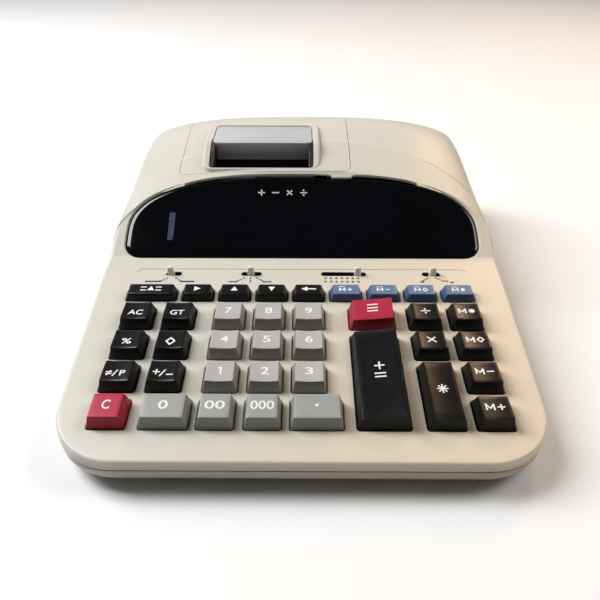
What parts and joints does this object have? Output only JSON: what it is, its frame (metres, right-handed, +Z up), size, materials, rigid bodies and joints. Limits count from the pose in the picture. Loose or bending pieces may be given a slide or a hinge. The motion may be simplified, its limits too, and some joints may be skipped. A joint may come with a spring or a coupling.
{
  "type": "desk calculator",
  "caption": "Ivory printing desk calculator with a sloped keyboard, slide switches, a dark display window and a paper slot with a tear bar.",
  "frame": {"origin": "on the table, under the middle of the case", "axes": "+Y from the front edge to the rear, +X to the right of a person using it, +Z up"},
  "size_m": [0.208, 0.266, 0.0737],
  "materials": {
    "case": "fine moulded texture, ivory",
    "lower_case": "fine moulded texture, ivory",
    "tear_bar": "smooth light grey",
    "window": "polished, nearly black smoked acrylic",
    "cap_black": "satin black",
    "cap_grey": "satin grey",
    "cap_red": "satin red",
    "cap_blue": "satin blue",
    "knob": "satin ivory",
    "board": "green lacquered circuit board",
    "tube": "dark display tube",
    "core": "varnished laminated core",
    "black_plastic": "moulded black",
    "roller": "ground rubber",
    "ink": "inked sponge",
    "holder": "smooth ivory",
    "foot": "matte black rubber"
  },
  "bodies": {
    "case": {"upper_case": "case", "lower_case": "lower_case", "display_window": "window", "main_board": "board", "display_tube": "tube", "transformer": "core", "power_inlet": "black_plastic", "printer_frame": "black_plastic", "foot_front_left": "foot", "foot_front_right": "foot", "foot_rear_left": "foot", "foot_rear_right": "foot"},
    "printer_cover": {"printer_cover": "case", "tear_bar": "tear_bar"},
    "paper_holder": {"paper_holder": "holder"},
    "print_head": {"print_head": "black_plastic"},
    "feed_roller": {"feed_roller": "roller"},
    "ink_roller": {"ink_roller": "ink"},
    "switch_power": {"switch_power": "knob"},
    "switch_round": {"switch_round": "knob"},
    "switch_decimal": {"switch_decimal": "knob"},
    "switch_rate": {"switch_rate": "knob"},
    "key_ac": {"key_ac": "cap_black"},
    "key_gt": {"key_gt": "cap_black"},
    "key_percent": {"key_percent": "cap_black"},
    "key_subtotal": {"key_subtotal": "cap_black"},
    "key_nonadd": {"key_nonadd": "cap_black"},
    "key_sign": {"key_sign": "cap_black"},
    "key_clear": {"key_clear": "cap_red"},
    "key_7": {"key_7": "cap_grey"},
    "key_8": {"key_8": "cap_grey"},
    "key_9": {"key_9": "cap_grey"},
    "key_4": {"key_4": "cap_grey"},
    "key_5": {"key_5": "cap_grey"},
    "key_6": {"key_6": "cap_grey"},
    "key_1": {"key_1": "cap_grey"},
    "key_2": {"key_2": "cap_grey"},
    "key_3": {"key_3": "cap_grey"},
    "key_0": {"key_0": "cap_grey"},
    "key_00": {"key_00": "cap_grey"},
    "key_000": {"key_000": "cap_grey"},
    "key_point": {"key_point": "cap_grey"},
    "key_minus_equals": {"key_minus_equals": "cap_red"},
    "key_plus_equals": {"key_plus_equals": "cap_black"},
    "key_divide": {"key_divide": "cap_black"},
    "key_multiply": {"key_multiply": "cap_black"},
    "key_total": {"key_total": "cap_black"},
    "key_memory_total": {"key_memory_total": "cap_black"},
    "key_memory_subtotal": {"key_memory_subtotal": "cap_black"},
    "key_memory_minus": {"key_memory_minus": "cap_black"},
    "key_memory_plus": {"key_memory_plus": "cap_black"},
    "key_feed": {"key_feed": "cap_black"},
    "key_right": {"key_right": "cap_black"},
    "key_up": {"key_up": "cap_black"},
    "key_down": {"key_down": "cap_black"},
    "key_correct": {"key_correct": "cap_black"},
    "key_second_plus": {"key_second_plus": "cap_blue"},
    "key_second_minus": {"key_second_minus": "cap_blue"},
    "key_second_subtotal": {"key_second_subtotal": "cap_blue"},
    "key_second_total": {"key_second_total": "cap_blue"}
  },
  "joints": [
    {"name": "printer_cover_hinge", "type": "hinge", "parent": "case", "child": "printer_cover", "pos_m": [-0.022, 0.12962, 0.05771], "axis": [-1, 0, 0], "range_deg": [0, 75]},
    {"name": "paper_holder_hinge", "type": "hinge", "parent": "case", "child": "paper_holder", "pos_m": [-0.0245, 0.12825, 0.0152], "axis": [-1, 0, 0], "range_deg": [0, 90]},
    {"name": "print_head_slide", "type": "slide", "parent": "case", "child": "print_head", "axis": [1, 0, 0], "range_m": [-0.028, 0.028]},
    {"name": "feed_roller_turn", "type": "hinge", "parent": "case", "child": "feed_roller", "pos_m": [-0.024, 0.07831, 0.05141], "axis": [1, 0, 0], "continuous": true},
    {"name": "ink_roller_turn", "type": "hinge", "parent": "case", "child": "ink_roller", "pos_m": [-0.024, 0.05214, 0.05122], "axis": [1, 0, 0], "continuous": true},
    {"name": "switch_power_slide", "type": "slide", "parent": "case", "child": "switch_power", "axis": [1, 0, 0], "range_m": [0, 0.003]},
    {"name": "switch_round_slide", "type": "slide", "parent": "case", "child": "switch_round", "axis": [1, 0, 0], "range_m": [-0.0026, 0.0026]},
    {"name": "switch_decimal_slide", "type": "slide", "parent": "case", "child": "switch_decimal", "axis": [1, 0, 0], "range_m": [-0.0166, 0.002]},
    {"name": "switch_rate_slide", "type": "slide", "parent": "case", "child": "switch_rate", "axis": [1, 0, 0], "range_m": [-0.003, 0.0016]},
    {"name": "key_ac_press", "type": "slide", "parent": "case", "child": "key_ac", "axis": [0, 0.1219, -0.9925], "range_m": [0, 0.0025], "stiffness_N_per_m": 150, "springref_m": -0.001},
    {"name": "key_gt_press", "type": "slide", "parent": "case", "child": "key_gt", "axis": [0, 0.1219, -0.9925], "range_m": [0, 0.0025], "stiffness_N_per_m": 150, "springref_m": -0.001},
    {"name": "key_percent_press", "type": "slide", "parent": "case", "child": "key_percent", "axis": [0, 0.1219, -0.9925], "range_m": [0, 0.0025], "stiffness_N_per_m": 150, "springref_m": -0.001},
    {"name": "key_subtotal_press", "type": "slide", "parent": "case", "child": "key_subtotal", "axis": [0, 0.1219, -0.9925], "range_m": [0, 0.0025], "stiffness_N_per_m": 150, "springref_m": -0.001},
    {"name": "key_nonadd_press", "type": "slide", "parent": "case", "child": "key_nonadd", "axis": [0, 0.1219, -0.9925], "range_m": [0, 0.0025], "stiffness_N_per_m": 150, "springref_m": -0.001},
    {"name": "key_sign_press", "type": "slide", "parent": "case", "child": "key_sign", "axis": [0, 0.1219, -0.9925], "range_m": [0, 0.0025], "stiffness_N_per_m": 150, "springref_m": -0.001},
    {"name": "key_clear_press", "type": "slide", "parent": "case", "child": "key_clear", "axis": [0, 0.1219, -0.9925], "range_m": [0, 0.0025], "stiffness_N_per_m": 150, "springref_m": -0.001},
    {"name": "key_7_press", "type": "slide", "parent": "case", "child": "key_7", "axis": [0, 0.1219, -0.9925], "range_m": [0, 0.0025], "stiffness_N_per_m": 150, "springref_m": -0.001},
    {"name": "key_8_press", "type": "slide", "parent": "case", "child": "key_8", "axis": [0, 0.1219, -0.9925], "range_m": [0, 0.0025], "stiffness_N_per_m": 150, "springref_m": -0.001},
    {"name": "key_9_press", "type": "slide", "parent": "case", "child": "key_9", "axis": [0, 0.1219, -0.9925], "range_m": [0, 0.0025], "stiffness_N_per_m": 150, "springref_m": -0.001},
    {"name": "key_4_press", "type": "slide", "parent": "case", "child": "key_4", "axis": [0, 0.1219, -0.9925], "range_m": [0, 0.0025], "stiffness_N_per_m": 150, "springref_m": -0.001},
    {"name": "key_5_press", "type": "slide", "parent": "case", "child": "key_5", "axis": [0, 0.1219, -0.9925], "range_m": [0, 0.0025], "stiffness_N_per_m": 150, "springref_m": -0.001},
    {"name": "key_6_press", "type": "slide", "parent": "case", "child": "key_6", "axis": [0, 0.1219, -0.9925], "range_m": [0, 0.0025], "stiffness_N_per_m": 150, "springref_m": -0.001},
    {"name": "key_1_press", "type": "slide", "parent": "case", "child": "key_1", "axis": [0, 0.1219, -0.9925], "range_m": [0, 0.0025], "stiffness_N_per_m": 150, "springref_m": -0.001},
    {"name": "key_2_press", "type": "slide", "parent": "case", "child": "key_2", "axis": [0, 0.1219, -0.9925], "range_m": [0, 0.0025], "stiffness_N_per_m": 150, "springref_m": -0.001},
    {"name": "key_3_press", "type": "slide", "parent": "case", "child": "key_3", "axis": [0, 0.1219, -0.9925], "range_m": [0, 0.0025], "stiffness_N_per_m": 150, "springref_m": -0.001},
    {"name": "key_0_press", "type": "slide", "parent": "case", "child": "key_0", "axis": [0, 0.1219, -0.9925], "range_m": [0, 0.0025], "stiffness_N_per_m": 150, "springref_m": -0.001},
    {"name": "key_00_press", "type": "slide", "parent": "case", "child": "key_00", "axis": [0, 0.1219, -0.9925], "range_m": [0, 0.0025], "stiffness_N_per_m": 150, "springref_m": -0.001},
    {"name": "key_000_press", "type": "slide", "parent": "case", "child": "key_000", "axis": [0, 0.1219, -0.9925], "range_m": [0, 0.0025], "stiffness_N_per_m": 150, "springref_m": -0.001},
    {"name": "key_point_press", "type": "slide", "parent": "case", "child": "key_point", "axis": [0, 0.1219, -0.9925], "range_m": [0, 0.0025], "stiffness_N_per_m": 150, "springref_m": -0.001},
    {"name": "key_minus_equals_press", "type": "slide", "parent": "case", "child": "key_minus_equals", "axis": [0, 0.1219, -0.9925], "range_m": [0, 0.0025], "stiffness_N_per_m": 150, "springref_m": -0.001},
    {"name": "key_plus_equals_press", "type": "slide", "parent": "case", "child": "key_plus_equals", "axis": [0, 0.1219, -0.9925], "range_m": [0, 0.0025], "stiffness_N_per_m": 150, "springref_m": -0.001},
    {"name": "key_divide_press", "type": "slide", "parent": "case", "child": "key_divide", "axis": [0, 0.1219, -0.9925], "range_m": [0, 0.0025], "stiffness_N_per_m": 150, "springref_m": -0.001},
    {"name": "key_multiply_press", "type": "slide", "parent": "case", "child": "key_multiply", "axis": [0, 0.1219, -0.9925], "range_m": [0, 0.0025], "stiffness_N_per_m": 150, "springref_m": -0.001},
    {"name": "key_total_press", "type": "slide", "parent": "case", "child": "key_total", "axis": [0, 0.1219, -0.9925], "range_m": [0, 0.0025], "stiffness_N_per_m": 150, "springref_m": -0.001},
    {"name": "key_memory_total_press", "type": "slide", "parent": "case", "child": "key_memory_total", "axis": [0, 0.1219, -0.9925], "range_m": [0, 0.0025], "stiffness_N_per_m": 150, "springref_m": -0.001},
    {"name": "key_memory_subtotal_press", "type": "slide", "parent": "case", "child": "key_memory_subtotal", "axis": [0, 0.1219, -0.9925], "range_m": [0, 0.0025], "stiffness_N_per_m": 150, "springref_m": -0.001},
    {"name": "key_memory_minus_press", "type": "slide", "parent": "case", "child": "key_memory_minus", "axis": [0, 0.1219, -0.9925], "range_m": [0, 0.0025], "stiffness_N_per_m": 150, "springref_m": -0.001},
    {"name": "key_memory_plus_press", "type": "slide", "parent": "case", "child": "key_memory_plus", "axis": [0, 0.1219, -0.9925], "range_m": [0, 0.0025], "stiffness_N_per_m": 150, "springref_m": -0.001},
    {"name": "key_feed_press", "type": "slide", "parent": "case", "child": "key_feed", "axis": [0, 0.1219, -0.9925], "range_m": [0, 0.0025], "stiffness_N_per_m": 150, "springref_m": -0.001},
    {"name": "key_right_press", "type": "slide", "parent": "case", "child": "key_right", "axis": [0, 0.1219, -0.9925], "range_m": [0, 0.0025], "stiffness_N_per_m": 150, "springref_m": -0.001},
    {"name": "key_up_press", "type": "slide", "parent": "case", "child": "key_up", "axis": [0, 0.1219, -0.9925], "range_m": [0, 0.0025], "stiffness_N_per_m": 150, "springref_m": -0.001},
    {"name": "key_down_press", "type": "slide", "parent": "case", "child": "key_down", "axis": [0, 0.1219, -0.9925], "range_m": [0, 0.0025], "stiffness_N_per_m": 150, "springref_m": -0.001},
    {"name": "key_correct_press", "type": "slide", "parent": "case", "child": "key_correct", "axis": [0, 0.1219, -0.9925], "range_m": [0, 0.0025], "stiffness_N_per_m": 150, "springref_m": -0.001},
    {"name": "key_second_plus_press", "type": "slide", "parent": "case", "child": "key_second_plus", "axis": [0, 0.1219, -0.9925], "range_m": [0, 0.0025], "stiffness_N_per_m": 150, "springref_m": -0.001},
    {"name": "key_second_minus_press", "type": "slide", "parent": "case", "child": "key_second_minus", "axis": [0, 0.1219, -0.9925], "range_m": [0, 0.0025], "stiffness_N_per_m": 150, "springref_m": -0.001},
    {"name": "key_second_subtotal_press", "type": "slide", "parent": "case", "child": "key_second_subtotal", "axis": [0, 0.1219, -0.9925], "range_m": [0, 0.0025], "stiffness_N_per_m": 150, "springref_m": -0.001},
    {"name": "key_second_total_press", "type": "slide", "parent": "case", "child": "key_second_total", "axis": [0, 0.1219, -0.9925], "range_m": [0, 0.0025], "stiffness_N_per_m": 150, "springref_m": -0.001}
  ]
}
